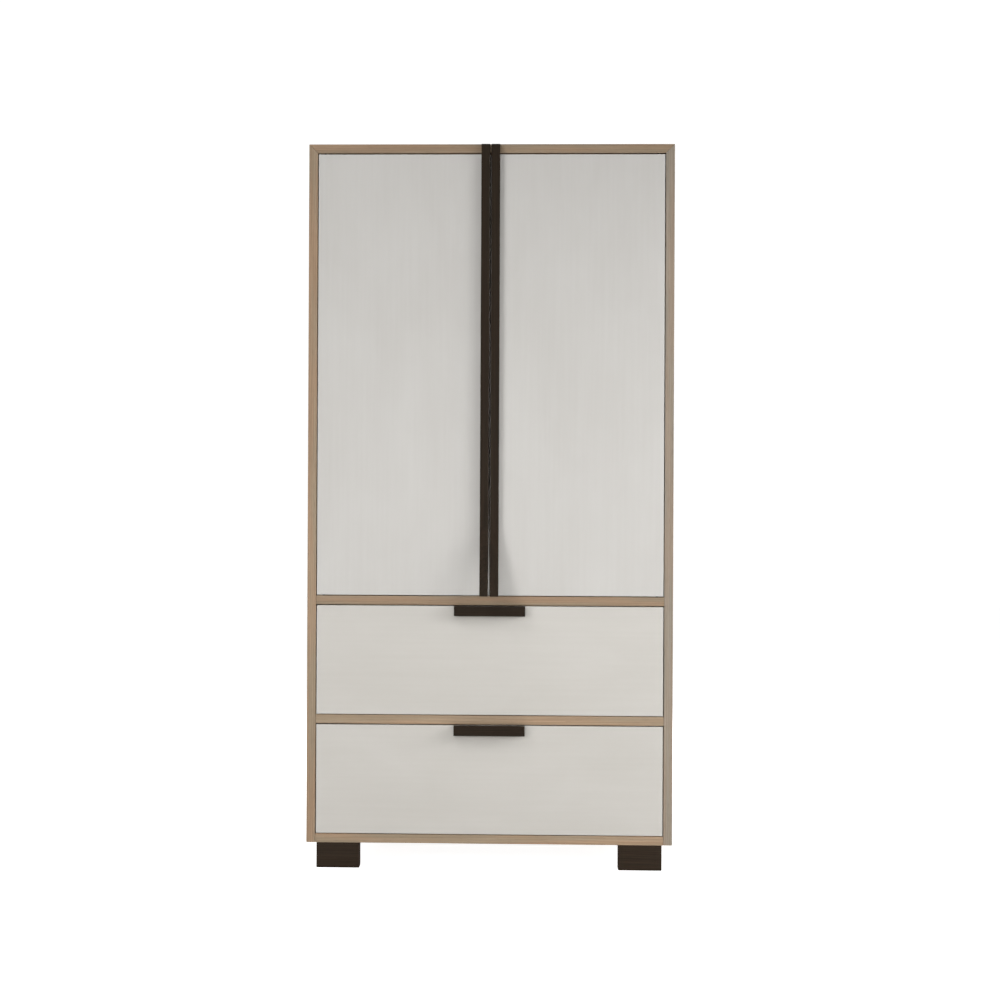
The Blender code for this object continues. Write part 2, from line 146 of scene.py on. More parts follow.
class ArmoireColours(bpy.types.PropertyGroup):
    """Base colours of the finishes."""
    oak_dark: colour("Oak, dark", "Dark grain of the washed oak", (0.262, 0.178, 0.110))
    oak_light: colour("Oak, light", "Light grain of the washed oak", (0.445, 0.322, 0.216))
    # Greyer oak for the right side board: painted light, the way the light falls on that side.
    lit_right_oak_dark: colour("Grey oak, dark", "Dark grain of the greyer oak boards",
                          (0.248, 0.200, 0.152))
    lit_right_oak_light: colour("Grey oak, light", "Light grain of the greyer oak boards",
                           (0.396, 0.331, 0.264))
    door_shade: colour("Doors, shade", "Darker brush marks on the doors", (0.618, 0.599, 0.568))
    door_pale: colour("Doors, pale", "Paler brush marks on the doors", (0.654, 0.638, 0.609))
    drawer_shade: colour("Drawers, shade", "Darker brush marks on the drawer fronts",
                         (0.612, 0.588, 0.544))
    drawer_pale: colour("Drawers, pale", "Paler brush marks on the drawer fronts",
                        (0.650, 0.626, 0.585))
    espresso_dark: colour("Espresso, dark", "Dark grain of the pulls and feet",
                          (0.0140, 0.0088, 0.0052))
    espresso_light: colour("Espresso, light", "Light grain of the pulls and feet",
                           (0.0330, 0.0215, 0.0132))
    birch_dark: colour("Birch, dark", "Dark grain of the drawer boxes", (0.50, 0.375, 0.245))
    birch_light: colour("Birch, light", "Light grain of the drawer boxes", (0.66, 0.53, 0.38))
    board_dark: colour("Back, dark", "Dark grain of the back panel", (0.29, 0.205, 0.135))
    board_light: colour("Back, light", "Light grain of the back panel", (0.43, 0.330, 0.235))
    zinc: colour("Zinc", "Plated runners, plates and screws", (0.60, 0.60, 0.61))
    polished: colour("Polished steel", "Hanging rail and its sockets", (0.66, 0.66, 0.67))
    oiled: colour("Oiled steel", "Pivot pins", (0.055, 0.050, 0.045))
    brass: colour("Brass", "Pivot bushes", (0.62, 0.45, 0.20))
    plastic: colour("Catch", "Moulded bodies of the door catches", (0.15, 0.12, 0.10))


class ArmoireStage(bpy.types.PropertyGroup):
    """Camera, floor and lights."""
    camera_distance: length("Camera distance", "From the camera to the cabinet's front", 5.0)
    camera_side: length("Camera side", "Camera's place to the right of the middle", 0.050)
    camera_height: length("Camera height", "Camera's height above the floor", 1.019)
    camera_turn: angle("Turn", "Turn of the camera to the left", 1.69)
    camera_tilt: angle("Tilt", "Tilt of the camera downwards", -0.065)
    camera_roll: angle("Roll", "Roll of the camera", 0.257)
    lens: FloatProperty(name="Lens", description="Focal length in millimetres", default=64.80)
    lens_shift: number("Lens shift", "Sideways shift of the lens, in widths of the frame", 0.045)
    floor_radius: length("Floor radius", "Radius of the round studio floor", 14.0)
    floor_colour: colour("Floor", "Colour of the studio floor", (0.86, 0.86, 0.86))
    # Less added glow by the feet than far off paints a shade round the cabinet.
    floor_near: number("Floor by the feet", "Brightness added to the floor by the feet", 0.93)
    floor_far: number("Floor far off", "Brightness added to the floor far from the feet", 1.00)
    backdrop: number("Backdrop", "Brightness of the white surround in view", 1.05)
    ambient: number("Ambient", "Strength of the soft light from all round", 0.03)
    light_scale: number("Light scale", "Multiplies the power of every softbox", 1.0)


# ---- Meshes ----------------------------------------------------------------------------------

def box_of(node):
    low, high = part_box(node)
    return Vector(low), Vector(high)


def body_of(node):
    return frame["nodes"][node]["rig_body"]


def add_piece(name, bm, material, body, nodes=()):
    """Turn a mesh into a named piece that rides on a body and may stand for frame nodes.

    Its origin is in its middle, so that the grain of its material starts there.
    """
    mesh = bpy.data.meshes.new(name)
    bmesh.ops.recalc_face_normals(bm, faces=bm.faces)
    spots = [vert.co for vert in bm.verts]
    low = Vector(min(spot[axis] for spot in spots) for axis in range(3))
    high = Vector(max(spot[axis] for spot in spots) for axis in range(3))
    middle = (low + high) / 2
    bmesh.ops.translate(bm, verts=bm.verts, vec=-middle)
    bm.to_mesh(mesh)
    bm.free()
    mesh.shade_smooth()
    mesh.materials.append(material)
    obj = bpy.data.objects.new(name, mesh)
    obj.location = middle
    bpy.context.scene.collection.objects.link(obj)
    bpy.context.view_layer.update()
    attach(obj, body)
    if nodes:
        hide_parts(*nodes)
    return obj


def ease_edges(obj, radius, segments, weighted=False):
    """Round a piece's arrises, with its flat faces kept flat."""
    bevel = obj.modifiers.new("eased_edges", "BEVEL")
    bevel.width = radius
    bevel.segments = segments
    bevel.limit_method = "WEIGHT" if weighted else "ANGLE"
    bevel.angle_limit = radians(40)
    bevel.harden_normals = True
    return obj


def cuboid(bm, low, high):
    low, high = Vector(low), Vector(high)
    place = Matrix.Translation((low + high) / 2) @ Matrix.Diagonal((*(high - low), 1.0))
    return bmesh.ops.create_cube(bm, size=1.0, matrix=place)["verts"]


def extruded(bm, outline, axis, low, high):
    """Extrude a flat outline along an axis: 0 draws it in (y, z) and 1 in (x, z)."""
    def at(along, a, b):
        return (along, a, b) if axis == 0 else (a, along, b)

    face = bm.faces.new([bm.verts.new(at(low, a, b)) for a, b in outline])
    swept = bmesh.ops.extrude_face_region(bm, geom=[face])
    moved = [item for item in swept["geom"] if isinstance(item, bmesh.types.BMVert)]
    bmesh.ops.translate(bm, verts=moved, vec=at(high - low, 0.0, 0.0))


def stacked_rings(bm, rings, sides, place):
    """Skin a stack of rings into one closed body. Each ring is (height, radius at an angle)."""
    loops = []
    for height, radius_at in rings:
        turns = [2 * pi * step / sides for step in range(sides)]
        spots = [(radius_at(t) * cos(t), radius_at(t) * sin(t), height) for t in turns]
        loops.append([bm.verts.new(place @ Vector(spot)) for spot in spots])
    for lower, upper in zip(loops, loops[1:]):
        for step in range(sides):
            after = (step + 1) % sides
            bm.faces.new((lower[step], lower[after], upper[after], upper[step]))
    bm.faces.new(loops[0][::-1])
    bm.faces.new(loops[-1])


def plain_rings(rings):
    """Rings of one radius all round, for stacked_rings."""
    return [(height, lambda turn, radius=radius: radius) for height, radius in rings]


def add_screw(bm, spot, outward, radius, height):
    """A low domed head with a cross recess, its flat underside on the surface."""
    dome = plain_rings([(0.0, radius), (height * 0.35, radius), (height * 0.75, radius * 0.86),
                        (height, radius * 0.66)])

    def cross_at(share):
        return lambda turn: radius * share * (0.30 + 0.70 * abs(cos(2 * turn)) ** 3)

    recess = [(height, cross_at(0.55)), (height * 0.3, cross_at(0.40))]
    turned = Vector(outward).to_track_quat("Z", "Y").to_matrix().to_4x4()
    stacked_rings(bm, dome + recess, 24, Matrix.Translation(spot) @ turned)


def add_screws(name, spots, outward, body, radius=None, height=None):
    """A group of like screw heads, as one piece."""
    sizes = bpy.context.scene.armoire_sizes
    bm = bmesh.new()
    for spot in spots:
        add_screw(bm, spot, outward, radius or sizes.screw_radius, height or sizes.screw_height)
    obj = add_piece(name, bm, finish_of("zinc"), body)
    obj.data.set_sharp_from_angle(angle=radians(SMOOTH_ANGLE))
    return obj


def add_board(node, material, edge=None):
    """A plain board in place of a frame node, with rounded arrises."""
    sizes = bpy.context.scene.armoire_sizes
    bm = bmesh.new()
    cuboid(bm, *box_of(node))
    obj = add_piece(node + "_board", bm, material, body_of(node), [node])
    return ease_edges(obj, edge or sizes.board_edge, sizes.edge_segments)


# ---- Materials -------------------------------------------------------------------------------

def add_node(tree, kind, inputs=None, **settings):
    """Add a shader node, set its inputs or link them to sockets, and return its first output."""
    made = tree.nodes.new(kind)
    for key, value in settings.items():
        setattr(made, key, value)
    for key, value in (inputs or {}).items():
        if isinstance(value, bpy.types.NodeSocket):
            tree.links.new(value, made.inputs[key])
        else:
            made.inputs[key].default_value = value
    return made.outputs[0]


def maths(tree, operation, first, second):
    return add_node(tree, "ShaderNodeMath", {0: first, 1: second}, operation=operation)


def multiply_add(tree, value, factor, addend):
    return add_node(tree, "ShaderNodeMath", {0: value, 1: factor, 2: addend},
                    operation="MULTIPLY_ADD")


def weighted_sum(tree, *parts):
    """Add up (value, share) pairs."""
    total = None
    for value, share in parts:
        part = maths(tree, "MULTIPLY", value, share)
        total = part if total is None else maths(tree, "ADD", total, part)
    return total


def vector_maths(tree, operation, first, second):
    return add_node(tree, "ShaderNodeVectorMath", {0: first, 1: second}, operation=operation)


def blank_material(name):
    """A node material and its tree, with the shader's own sockets at Blender's defaults."""
    material = bpy.data.materials.new(name)
    material.use_nodes = True
    return material, material.node_tree, material.node_tree.nodes["Principled BSDF"]


def board_place(tree):
    """Object coordinates shifted by a different amount on every board."""
    where = tree.nodes.new("ShaderNodeTexCoord").outputs["Object"]
    chance = tree.nodes.new("ShaderNodeObjectInfo").outputs["Random"]
    shift = vector_maths(tree, "MULTIPLY", chance, (3.1, 4.7, 5.9))
    return vector_maths(tree, "ADD", where, shift), chance


def stretched_noise(tree, place, axis, across, along, detail=3.0, distortion=0.0):
    """Noise drawn out along the grain, with its scales in features to the metre."""
    scale = [across] * 3
    scale[GRAIN_AXIS[axis]] = along
    grain = vector_maths(tree, "MULTIPLY", place, scale)
    made = tree.nodes.new("ShaderNodeTexNoise")
    tree.links.new(grain, made.inputs["Vector"])
    made.inputs["Scale"].default_value = 1.0
    made.inputs["Detail"].default_value = detail
    made.inputs["Distortion"].default_value = distortion
    return made.outputs["Fac"]


def ramp(tree, fac, stops):
    made = tree.nodes.new("ShaderNodeValToRGB")
    tree.links.new(fac, made.inputs["Fac"])
    elements = made.color_ramp.elements
    while len(elements) < len(stops):
        elements.new(0.5)
    for element, (position, value) in zip(elements, stops):
        element.position = position
        element.color = (*value, 1.0)
    return made.outputs["Color"]


def mask(tree, fac, low, high):
    """Black up to low, white from high on."""
    return ramp(tree, fac, [(low, BLACK), (high, WHITE)])


def blend_colours(tree, kind, fac, first, second):
    made = tree.nodes.new("ShaderNodeMix")
    made.data_type = "RGBA"
    made.blend_type = kind
    for index, value in ((0, fac), (6, first), (7, second)):
        if isinstance(value, bpy.types.NodeSocket):
            tree.links.new(value, made.inputs[index])
        else:
            made.inputs[index].default_value = value
    return made.outputs[2]


def noise_shift(tree, noise, amount):
    """Centre a noise on zero and scale it."""
    return maths(tree, "MULTIPLY", maths(tree, "SUBTRACT", noise, 0.5), amount)


def scaled_colour(shade, amount):
    return tuple(part * amount for part in shade)


def add_relief(tree, shader, height, strength, distance):
    """Fine relief for a shader; the distance is its depth in metres."""
    bump = add_node(tree, "ShaderNodeBump", {"Height": height, "Strength": strength,
                                             "Distance": distance})
    tree.links.new(bump, shader.inputs["Normal"])


class WoodLook:
    """How a finished wood is cut and how strongly it shows its grain. Lengths are in metres. Its
    shade scales both colours, which paints light into some boards and shade into others.
    """

    def __init__(self, dark, light, ring=0.0055, stave=0.125, ring_share=0.40, fibre_share=0.28,
                 pores=0.35, drift=0.5, roughness=0.5, specular=0.35, bump=0.25, end_shade=0.75,
                 tone=0.05, shade=1.0):
        self.dark, self.light = scaled_colour(dark, shade), scaled_colour(light, shade)
        self.ring, self.stave = ring, stave
        self.ring_share, self.fibre_share = ring_share, fibre_share
        self.pores, self.drift = pores, drift
        self.roughness, self.specular, self.bump = roughness, specular, bump
        self.end_shade, self.tone = end_shade, tone


def growth_rings(tree, local, place, chance, grain, width, look):
    """Ring lines round a pith that differs from stave to stave, and each stave's own tone."""
    split = tree.nodes.new("ShaderNodeSeparateXYZ")
    tree.links.new(local, split.inputs[0])
    thickness = ({"X", "Y", "Z"} - {grain, width}).pop()
    counted = multiply_add(tree, split.outputs[width], 1 / look.stave,
                           maths(tree, "MULTIPLY", chance, 7.0))
    index = maths(tree, "ADD", maths(tree, "FLOOR", counted, 0.0),
                  maths(tree, "MULTIPLY", chance, 31.0))
    lot = add_node(tree, "ShaderNodeTexWhiteNoise", {"W": index}, noise_dimensions="1D")
    within = noise_shift(tree, maths(tree, "FRACT", counted, 0.0), look.stave)
    off_centre = noise_shift(tree, lot, look.stave * 0.9)
    lean = maths(tree, "MULTIPLY", maths(tree, "MULTIPLY", split.outputs[grain], 0.03),
                 maths(tree, "SUBTRACT", lot, 0.5))
    across = maths(tree, "ADD", maths(tree, "ADD", within, off_centre), lean)
    below = multiply_add(tree, lot, 0.05, 0.018)
    deep = maths(tree, "ADD", split.outputs[thickness], below)
    radius = maths(tree, "SQRT", maths(tree, "ADD", maths(tree, "MULTIPLY", across, across),
                                       maths(tree, "MULTIPLY", deep, deep)), 0.0)
    wander = noise_shift(tree, stretched_noise(tree, place, grain, 5.0, 0.9, 2.0), 0.030)
    turns = maths(tree, "DIVIDE", maths(tree, "ADD", radius, wander), look.ring)
    lines = ramp(tree, maths(tree, "FRACT", turns, 0.0),
                 [(0.0, (0.85,) * 3), (0.25, (0.75,) * 3), (0.70, (0.50,) * 3),
                  (0.92, (0.10,) * 3), (1.0, (0.85,) * 3)])
    return lines, lot


def wood(name, grain, width, look):
    """Sawn and finished wood: growth rings, fibres, pores and end grain, along an axis."""
    material, tree, shader = blank_material(f"{name}_{grain.lower()}{width.lower()}")
    local = tree.nodes.new("ShaderNodeTexCoord").outputs["Object"]
    place, chance = board_place(tree)
    lines, lot = growth_rings(tree, local, place, chance, grain, width, look)
    figure = stretched_noise(tree, place, grain, 70.0, 1.6, 4.0, 0.3)
    fibres = stretched_noise(tree, place, grain, 420.0, 7.0, 3.0)
    pores = stretched_noise(tree, place, grain, 900.0, 38.0, 2.0)
    fleck = mask(tree, pores, 0.56, 0.70)

    fibre_tone = mask(tree, fibres, 0.30, 0.70)
    figure_tone = mask(tree, figure, 0.30, 0.70)
    figure_share = 1 - look.ring_share - look.fibre_share
    mixed = weighted_sum(tree, (lines, look.ring_share), (fibre_tone, look.fibre_share),
                         (figure_tone, figure_share))
    face = ramp(tree, mixed, [(0.12, look.dark), (0.88, look.light)])

    patches = stretched_noise(tree, place, grain, 45.0, 2.5, 2.0)
    greyer = blend_colours(tree, "MULTIPLY", 1.0, face, (0.90, 0.99, 1.02, 1.0))
    warmer = blend_colours(tree, "MULTIPLY", 1.0, face, (1.04, 0.97, 0.92, 1.0))
    lean_grey = mask(tree, patches, 0.40, 0.60)
    drifted = blend_colours(tree, "MIX", lean_grey, warmer, greyer)
    face = blend_colours(tree, "MIX", look.drift, face, drifted)

    brightness = multiply_add(tree, lot, 2 * look.tone, 1 - look.tone)
    face = blend_colours(tree, "MULTIPLY", 1.0, face, brightness)
    darkened = blend_colours(tree, "MULTIPLY", 1.0, face, (0.45, 0.42, 0.40, 1.0))
    face = blend_colours(tree, "MIX", maths(tree, "MULTIPLY", fleck, look.pores), face, darkened)

    facing = tree.nodes.new("ShaderNodeSeparateXYZ")
    tree.links.new(tree.nodes.new("ShaderNodeTexCoord").outputs["Normal"], facing.inputs[0])
    endwise = maths(tree, "ABSOLUTE", facing.outputs[grain], 0.0)
    is_end = mask(tree, endwise, 0.80, 0.95)
    speckle = stretched_noise(tree, place, grain, 700.0, 700.0, 2.0)
    end_mix = weighted_sum(tree, (lines, 0.7), (speckle, 0.3))
    end_face = ramp(tree, end_mix, [(0.15, scaled_colour(look.dark, look.end_shade * 0.85)),
                                    (0.85, scaled_colour(look.light, look.end_shade))])
    tree.links.new(blend_colours(tree, "MIX", is_end, face, end_face),
                   shader.inputs["Base Color"])

    rough = multiply_add(tree, figure, 0.16, look.roughness - 0.08)
    tree.links.new(rough, shader.inputs["Roughness"])
    shader.inputs["Specular IOR Level"].default_value = look.specular
    relief = maths(tree, "SUBTRACT", maths(tree, "MULTIPLY", fibres, 0.5),
                   maths(tree, "MULTIPLY", fleck, look.pores))
    add_relief(tree, shader, relief, look.bump, 0.0004)
    return material


def brushed_paint(name, along, shade, pale):
    """A pale brushed finish: soft clouds, and brush marks that run along an axis."""
    material, tree, shader = blank_material(f"{name}_along_{along.lower()}")
    place, _ = board_place(tree)
    clouds = stretched_noise(tree, place, along, 7.0, 3.5, 3.0, 0.4)
    marks = stretched_noise(tree, place, along, 110.0, 3.5, 3.0)
    bristles = stretched_noise(tree, place, along, 900.0, 9.0, 2.0)
    grit = stretched_noise(tree, place, along, 2200.0, 2200.0, 1.0)
    mark_tone = mask(tree, marks, 0.32, 0.68)
    cloud_tone = mask(tree, clouds, 0.30, 0.70)
    mixed = weighted_sum(tree, (cloud_tone, 0.55), (mark_tone, 0.25), (bristles, 0.20))
    tree.links.new(ramp(tree, mixed, [(0.10, shade), (0.90, pale)]), shader.inputs["Base Color"])
    rough = multiply_add(tree, marks, 0.14, 0.46)
    tree.links.new(rough, shader.inputs["Roughness"])
    shader.inputs["Specular IOR Level"].default_value = 0.30
    relief = weighted_sum(tree, (bristles, 0.7), (grit, 0.3))
    add_relief(tree, shader, relief, 0.10, 0.0003)
    return material


def metal(name, base, roughness, axis="Y", lines=0.10):
    """Drawn or plated metal with fine lines along an axis."""
    material, tree, shader = blank_material(name)
    place, _ = board_place(tree)
    drawn = stretched_noise(tree, place, axis, 1400.0, 12.0, 3.0)
    cloud = stretched_noise(tree, place, axis, 40.0, 40.0, 3.0)
    worn = weighted_sum(tree, (drawn, lines), (cloud, 0.10))
    tree.links.new(maths(tree, "ADD", worn, roughness - 0.05), shader.inputs["Roughness"])
    tone = ramp(tree, cloud, [(0.3, [c * 0.90 for c in base]), (0.7, base)])
    tree.links.new(tone, shader.inputs["Base Color"])
    shader.inputs["Metallic"].default_value = 1.0
    add_relief(tree, shader, drawn, 0.08, 0.0002)
    return material


def moulded(name, base, roughness):
    """Moulded plastic with a fine texture."""
    material, tree, shader = blank_material(name)
    place, _ = board_place(tree)
    grit = stretched_noise(tree, place, "Z", 1800.0, 1800.0, 2.0)
    tone = ramp(tree, grit, [(0.3, [c * 0.9 for c in base]), (0.7, base)])
    tree.links.new(tone, shader.inputs["Base Color"])
    shader.inputs["Roughness"].default_value = roughness
    add_relief(tree, shader, grit, 0.15, 0.0002)
    return material


MADE = {}


def finish_of(kind, grain="Z", width="Y"):
    """The material for a finish, made once for each way that its grain runs."""
    key = (kind, grain, width)
    if key not in MADE:
        MADE[key] = make_finish(kind, grain, width)
    return MADE[key]


def make_finish(kind, grain, width):
    tint = bpy.context.scene.armoire_colours
    oak = (tint.oak_dark, tint.oak_light)
    espresso = (tint.espresso_dark, tint.espresso_light)
    washed = {"drift": 0.75, "roughness": 0.58}
    stained = {"pores": 0.30, "roughness": 0.52, "bump": 0.35, "end_shade": 0.9, "drift": 0.3}
    woods = {
        "oak": WoodLook(*oak, **washed),
        # Painted shade: the top board's oak darkened to 0.93.
        "shaded_top_oak": WoodLook(*oak, shade=0.93, **washed),
        # Painted light: the bottom and lower divider's oak brightened by 1.12.
        "lit_low_oak": WoodLook(*oak, shade=1.12, **washed),
        # Painted light: greyer colours for the right side board.
        "lit_right_oak": WoodLook(tint.lit_right_oak_dark, tint.lit_right_oak_light, pores=0.30, **washed),
        "espresso": WoodLook(*espresso, ring=0.0045, specular=0.10, **stained),
        # Painted light: the feet's espresso brightened by 1.35 over the pulls'.
        "lit_foot_espresso": WoodLook(*espresso, specular=0.12, shade=1.35, **stained),
        "birch": WoodLook(tint.birch_dark, tint.birch_light, ring=0.0090, stave=0.40,
                          pores=0.08, roughness=0.48, ring_share=0.45, bump=0.12),
        "back": WoodLook(tint.board_dark, tint.board_light, stave=0.19, pores=0.30,
                         roughness=0.60),
    }
    if kind in woods:
        return wood(kind, grain, width, woods[kind])
    if kind == "door_paint":
        return brushed_paint(kind, grain, tint.door_shade, tint.door_pale)
    if kind == "drawer_paint":
        return brushed_paint(kind, grain, tint.drawer_shade, tint.drawer_pale)
    if kind == "zinc":
        return metal(kind, tint.zinc, 0.34)
    if kind == "polished":
        return metal(kind, tint.polished, 0.16, "X", 0.06)
    if kind == "oiled":
        return metal(kind, tint.oiled, 0.45, "Z")
    if kind == "brass":
        return metal(kind, tint.brass, 0.30, "Z")
    return moulded(kind, tint.plastic, 0.55)


def dress_node(node, kind, axis="Z"):
    """Give a frame node that keeps its own shape its finish."""
    mesh = frame["nodes"][node].data
    mesh.materials.clear()
    mesh.materials.append(finish_of(kind, axis))


# ---- Stage -----------------------------------------------------------------------------------

def add_camera(stage, front_y):
    data = bpy.data.cameras.new("camera")
    data.lens = stage.lens
    data.shift_x = stage.lens_shift
    obj = bpy.data.objects.new("camera", data)
    aim = Matrix.Rotation(stage.camera_turn, 4, "Z")
    aim @= Matrix.Rotation(pi / 2 - stage.camera_tilt, 4, "X")
    aim @= Matrix.Rotation(stage.camera_roll, 4, "Z")
    spot = (stage.camera_side, front_y - stage.camera_distance, stage.camera_height)
    obj.matrix_world = Matrix.Translation(spot) @ aim
    bpy.context.scene.collection.objects.link(obj)
    bpy.context.scene.camera = obj


class Softbox:
    """A rectangular soft light, placed round the middle of the cabinet's front."""

    def __init__(self, name, turn, away, height, aim_height, size, spread, power):
        self.name, self.turn, self.away = name, radians(turn), away
        self.height, self.aim_height = height, aim_height
        self.size, self.spread, self.power = size, radians(spread), power

    def add(self, front_y, scale):
        data = bpy.data.lights.new(self.name, "AREA")
        data.shape = "RECTANGLE"
        data.size, data.size_y = self.size
        data.spread = self.spread
        data.energy = self.power * scale
        obj = bpy.data.objects.new(self.name, data)
        spot = Vector((sin(self.turn) * self.away, front_y - cos(self.turn) * self.away,
                       self.height))
        target = Vector((0.0, front_y, self.aim_height))
        aim = (target - spot).to_track_quat("-Z", "Y").to_matrix().to_4x4()
        obj.matrix_world = Matrix.Translation(spot) @ aim
        bpy.context.scene.collection.objects.link(obj)


SOFTBOXES = (
    Softbox("left_low_softbox", -45, 3.20, 1.20, 0.80, (1.2, 1.2), 80, 5.17),
    Softbox("left_high_softbox", -45, 2.19, 3.65, 1.05, (1.2, 1.2), 180, 35.1),
    Softbox("right_softbox", 55, 3.19, 2.21, 1.05, (1.2, 1.2), 180, 22.0),
    Softbox("right_side_softbox", 74, 2.80, 1.50, 0.70, (1.0, 1.0), 110, 16.2),
    Softbox("front_softbox", 0, 5.60, 1.80, 0.60, (2.4, 1.4), 50, 6.68),
    Softbox("side_left_softbox", -112, 3.20, 1.70, 1.30, (1.4, 1.4), 180, 30.0),
    Softbox("side_right_softbox", 112, 3.20, 1.70, 1.30, (1.4, 1.4), 180, 30.0),
    Softbox("rear_left_softbox", -150, 3.60, 1.35, 1.00, (1.4, 1.2), 180, 34.0),
    Softbox("rear_right_softbox", 150, 3.60, 1.35, 1.00, (1.4, 1.2), 180, 34.0),
    Softbox("top_softbox", 180, 1.30, 4.20, 2.00, (1.6, 1.6), 140, 26.0),
)


def add_floor(stage):
    """A round white floor, which the camera sees a little brighter than it lights the cabinet;
    less of that added brightness by the feet paints a shade round the cabinet.
    """
    bm = bmesh.new()
    bmesh.ops.create_circle(bm, cap_ends=True, segments=96, radius=stage.floor_radius)
    mesh = bpy.data.meshes.new("studio_floor")
    bm.to_mesh(mesh)
    bm.free()
    material, tree, shader = blank_material("studio_floor")
    place = tree.nodes.new("ShaderNodeTexCoord").outputs["Object"]
    cloud = stretched_noise(tree, place, "Z", 1.5, 1.5, 2.0)
    base = stage.floor_colour
    tone = ramp(tree, cloud, [(0.3, scaled_colour(base, 0.985)), (0.7, base)])
    tree.links.new(tone, shader.inputs["Base Color"])
    shader.inputs["Roughness"].default_value = 0.9
    shader.inputs["Specular IOR Level"].default_value = 0.1
    shader.inputs["Emission Color"].default_value = (1.0, 1.0, 1.0, 1.0)
    distance = tree.nodes.new("ShaderNodeVectorMath")
    distance.operation = "LENGTH"
    tree.links.new(place, distance.inputs[0])
    # Painted shade: the added glow is lower by the feet than far off.
    sweep = add_node(tree, "ShaderNodeMapRange",
                     {"Value": distance.outputs["Value"], "From Min": 0.6, "From Max": 1.8,
                      "To Min": stage.floor_near, "To Max": stage.floor_far},
                     interpolation_type="SMOOTHSTEP")
    seen = tree.nodes.new("ShaderNodeLightPath").outputs["Is Camera Ray"]
    tree.links.new(maths(tree, "MULTIPLY", sweep, seen), shader.inputs["Emission Strength"])
    mesh.materials.append(material)
    floor = bpy.data.objects.new("studio_floor", mesh)
    bpy.context.scene.collection.objects.link(floor)


def add_surround(stage):
    """White all round: bright where the camera sees it, softer where it lights the cabinet."""
    world = bpy.data.worlds.new("studio")
    world.use_nodes = True
    tree = world.node_tree
    tree.nodes.clear()
    seen = tree.nodes.new("ShaderNodeLightPath").outputs["Is Camera Ray"]
    strength = multiply_add(tree, seen, stage.backdrop - stage.ambient, stage.ambient)
    light = add_node(tree, "ShaderNodeBackground", {"Color": (1.0, 1.0, 1.0, 1.0),
                                                    "Strength": strength})
    output = tree.nodes.new("ShaderNodeOutputWorld")
    tree.links.new(light, output.inputs["Surface"])
    bpy.context.scene.world = world


class ARMOIRE_OT_stage(bpy.types.Operator):
    """Set up the camera, the floor, the soft lights and the white surround"""
    bl_idname = "armoire.stage"
    bl_label = "Stage"

    def execute(self, context):
        stage = context.scene.armoire_stage
        front_y = box_of("left_door")[0].y
        add_camera(stage, front_y)
        add_floor(stage)
        add_surround(stage)
        for softbox in SOFTBOXES:
            softbox.add(front_y, stage.light_scale)
        context.scene.view_settings.view_transform = "Standard"
        return {"FINISHED"}


# ---- Carcass ---------------------------------------------------------------------------------

def evenly(low, high, pitch):
    """Places from low to high, both ends included, about a pitch apart."""
    steps = max(1, round((high - low) / pitch))
    return [low + (high - low) * step / steps for step in range(steps + 1)]


def inner_row(low, high, margin, pitch):
    """Places along a row that starts and ends a margin in from low and high."""
    return evenly(low + margin, high - margin, pitch)


def add_mitred_board(name, node, outline, mitre_corners, kind, grain):
    """An extruded carcass board whose mitre arrises stay sharp, so that the joint closes.

    They are marked sharp too, or the shading of the mitre would spread along the board.
    """
    sizes = bpy.context.scene.armoire_sizes
    low, high = box_of(node)
    bm = bmesh.new()
    extruded(bm, outline, 1, low.y, high.y)
    weight = bm.edges.layers.float.new("bevel_weight_edge")
    for edge in bm.edges:
        on_mitre = [any(hypot(vert.co.x - x, vert.co.z - z) < SAME_SPOT for x, z in mitre_corners)
                    for vert in edge.verts]
        edge[weight] = 0.0 if all(on_mitre) else 1.0
    obj = add_piece(name, bm, finish_of(kind, grain), body_of(node), [node])
    weights = obj.data.attributes["bevel_weight_edge"].data
    for edge, weight in zip(obj.data.edges, weights):
        edge.use_edge_sharp = weight.value == 0.0
    return ease_edges(obj, sizes.board_edge, sizes.edge_segments, weighted=True)


class ARMOIRE_OT_carcass(bpy.types.Operator):
    """Build the mitred sides and top, the bottom and the dividers"""
    bl_idname = "armoire.carcass"
    bl_label = "Carcass"

    def execute(self, context):
        top_low, top_high = box_of("top_panel")
        board = top_high.z - top_low.z
        joint_z = top_high.z - context.scene.armoire_sizes.mitre_gap
        for side, sign in SIDES.items():
            low, high = box_of(side + "_side_panel")
            outer, inner = (low.x, high.x) if sign < 0 else (high.x, low.x)
            mitre = [(inner, joint_z - board), (outer, joint_z)]
            outline = [(outer, low.z), (inner, low.z)] + mitre
            # The right side board takes the greyer oak, a painted light on that side.
            kind = "lit_right_oak" if side == "right" else "oak"
            add_mitred_board(side + "_side_board", side + "_side_panel", outline, mitre, kind, "Z")
        mitre = [(top_low.x, top_high.z), (top_low.x + board, top_low.z),
                 (top_high.x - board, top_low.z), (top_high.x, top_high.z)]
        # The top board's oak is darkened, a painted shade.
        add_mitred_board("top_board", "top_panel", mitre, mitre, "shaded_top_oak", "X")
        # The lower divider and the bottom take brightened oak, a painted light.
        kinds = {"upper_divider": "oak", "lower_divider": "lit_low_oak", "bottom_panel": "lit_low_oak"}
        for node, kind in kinds.items():
            add_board(node, finish_of(kind, "X"))
        return {"FINISHED"}


